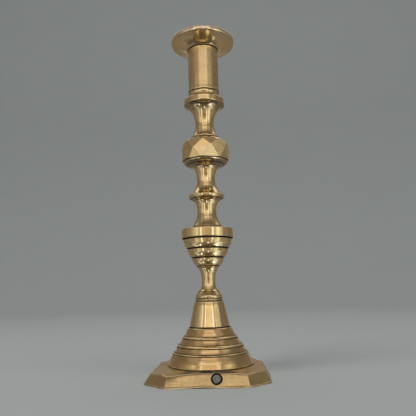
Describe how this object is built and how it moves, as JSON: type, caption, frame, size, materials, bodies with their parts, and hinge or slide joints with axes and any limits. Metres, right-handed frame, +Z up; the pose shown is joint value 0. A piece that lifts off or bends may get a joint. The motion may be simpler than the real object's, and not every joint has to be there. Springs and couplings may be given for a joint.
{
  "type": "candlestick",
  "caption": "Tall turned brass candlestick with a faceted knop, a banded beehive knop, a stepped conical foot on a square plinth with cut corners, and a push-up candle ejector.",
  "frame": {"origin": "centre of the plinth's underside, on the turning axis, at the level of the surface it stands on", "axes": "+Z up along the turning axis; the plugged cord hole in the plinth's skirt faces -Y; +X to the right when seen from that side"},
  "size_m": [0.0944, 0.0944, 0.292],
  "materials": {
    "polished_brass": "polished, with dark tarnish in the grooves",
    "satin_brass": "fine lathe-brushed satin",
    "plinth_brass": "hand-brushed, slightly worn and dulled",
    "inner_brass": "dull and tarnished",
    "grey_metal": "rough dull grey",
    "steel_rod": "dull drawn steel"
  },
  "bodies": {
    "candlestick": {"plinth": "plinth_brass", "cord_hole_plug": "grey_metal", "stepped_foot": "polished_brass", "foot_ring_nut": "inner_brass", "bell_cone": "polished_brass", "lower_neck": "polished_brass", "beehive_knop": "polished_brass", "lower_baluster": "polished_brass", "middle_baluster": "polished_brass", "diamond_knop": "satin_brass", "upper_baluster": "polished_brass", "candle_nozzle": "satin_brass", "drip_pan": "polished_brass"},
    "ejector": {"ejector_rod": "steel_rod", "pusher_disc": "inner_brass", "push_button": "inner_brass"}
  },
  "joints": [
    {"name": "ejector_slide", "type": "slide", "parent": "candlestick", "child": "ejector", "axis": [0, 0, 1], "range_m": [0, 0.036]}
  ]
}
